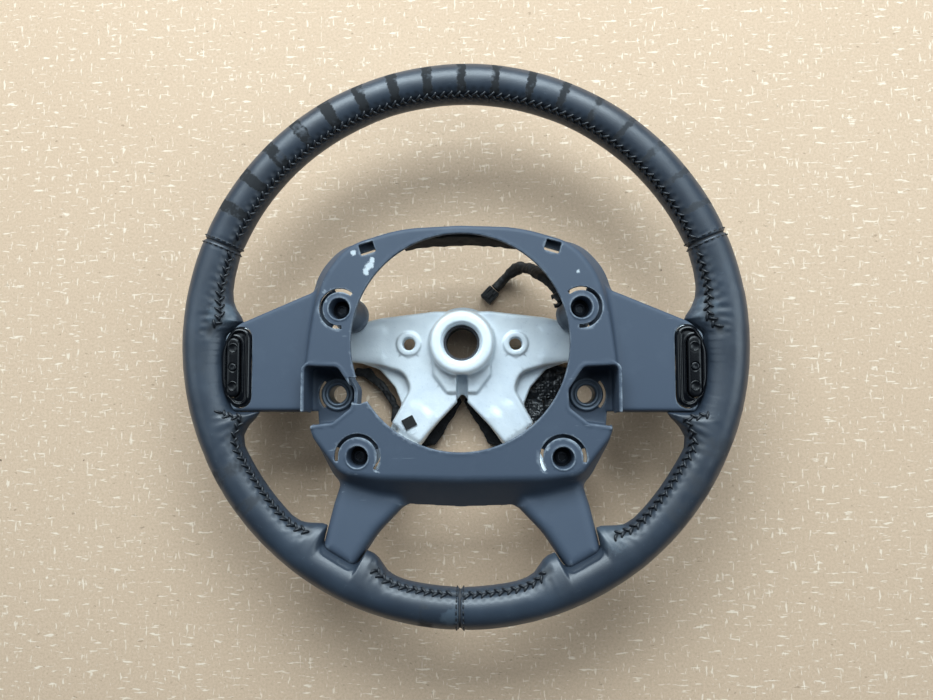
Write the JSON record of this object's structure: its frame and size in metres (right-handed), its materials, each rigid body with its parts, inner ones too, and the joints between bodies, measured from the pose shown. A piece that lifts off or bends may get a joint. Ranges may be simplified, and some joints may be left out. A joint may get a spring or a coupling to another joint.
{
  "type": "steering wheel",
  "caption": "Leather-wrapped round steering wheel with a cast spoke frame, moulded centre bezel and rocker switch pods, shown with its airbag removed.",
  "frame": {"origin": "on the shaft axis, at the back face of the hub", "axes": "+Z along the shaft axis towards the driver, +Y towards twelve o'clock, +X to the driver's right"},
  "size_m": [0.3864, 0.3874, 0.0706],
  "materials": {
    "cast_alloy": "raw casting, bright silver with a fine cast grain",
    "bush_steel": "dark oiled steel",
    "core_steel": "plain drawn tube",
    "grip_foam": "moulded polyurethane foam",
    "leather": "dark slate blue-grey grain leather, worn, with dark bands across the rim",
    "thread": "waxed polyester thread",
    "trim_plastic": "fine-textured mid blue-grey moulding, scuffed along its edges",
    "screw_steel": "zinc plated",
    "bushing_steel": "plated steel",
    "loom_tape": "cloth loom tape",
    "black_plastic": "moulded connector plastic",
    "black_film": "thin crumpled film and tape",
    "strip_foam": "open-cell foam strip",
    "pod_gloss": "gloss black",
    "rocker_black": "satin black",
    "button_black": "satin black",
    "dome_rubber": "translucent grey silicone",
    "board_green": "solder mask over glass laminate",
    "plug_white": "natural nylon"
  },
  "bodies": {
    "wheel": {"hub_armature": "cast_alloy", "hub_spline_bush": "bush_steel", "rim_core_ring": "core_steel", "rim_foam": "grip_foam", "leather_top": "leather", "leather_left": "leather", "leather_right": "leather", "stitching_top": "thread", "stitching_left": "thread", "stitching_right": "thread", "seam_stitching": "thread", "trim_bezel": "trim_plastic", "bezel_screws": "screw_steel", "airbag_bushings": "bushing_steel", "switch_housing_left": "pod_gloss", "switch_housing_right": "pod_gloss", "dome_mat_left": "dome_rubber", "dome_mat_right": "dome_rubber", "switch_board_left": "board_green", "switch_board_right": "board_green", "switch_backplate_left": "black_plastic", "switch_backplate_right": "black_plastic", "switch_screws": "screw_steel", "lead_plug_left": "plug_white", "lead_plug_right": "plug_white", "switch_lead_left": "loom_tape", "switch_lead_right": "loom_tape", "harness_loom": "loom_tape", "harness_connector": "black_plastic", "harness_clip": "black_plastic", "tape_strip_left": "loom_tape", "tape_bundle_right": "black_film", "notch_foam": "strip_foam", "wall_foam": "strip_foam", "tape_square": "loom_tape", "earth_tab": "screw_steel"},
    "rocker_left": {"switch_rocker_left": "rocker_black"},
    "button_left": {"switch_button_left": "button_black"},
    "rocker_right": {"switch_rocker_right": "rocker_black"},
    "button_right": {"switch_button_right": "button_black"}
  },
  "joints": [
    {"name": "rocker_tilt_left", "type": "hinge", "parent": "wheel", "child": "rocker_left", "pos_m": [-0.1555, -0.0186, 0.0585], "axis": [1, 0, 0], "range_deg": [-4, 4], "stiffness_Nm_per_rad": 0.2},
    {"name": "button_press_left", "type": "slide", "parent": "rocker_left", "child": "button_left", "axis": [0, 0, -1], "range_m": [0, 0.0012], "stiffness_N_per_m": 600},
    {"name": "rocker_tilt_right", "type": "hinge", "parent": "wheel", "child": "rocker_right", "pos_m": [0.1555, -0.0186, 0.0585], "axis": [1, 0, 0], "range_deg": [-4, 4], "stiffness_Nm_per_rad": 0.2},
    {"name": "button_press_right", "type": "slide", "parent": "rocker_right", "child": "button_right", "axis": [0, 0, -1], "range_m": [0, 0.0012], "stiffness_N_per_m": 600}
  ]
}
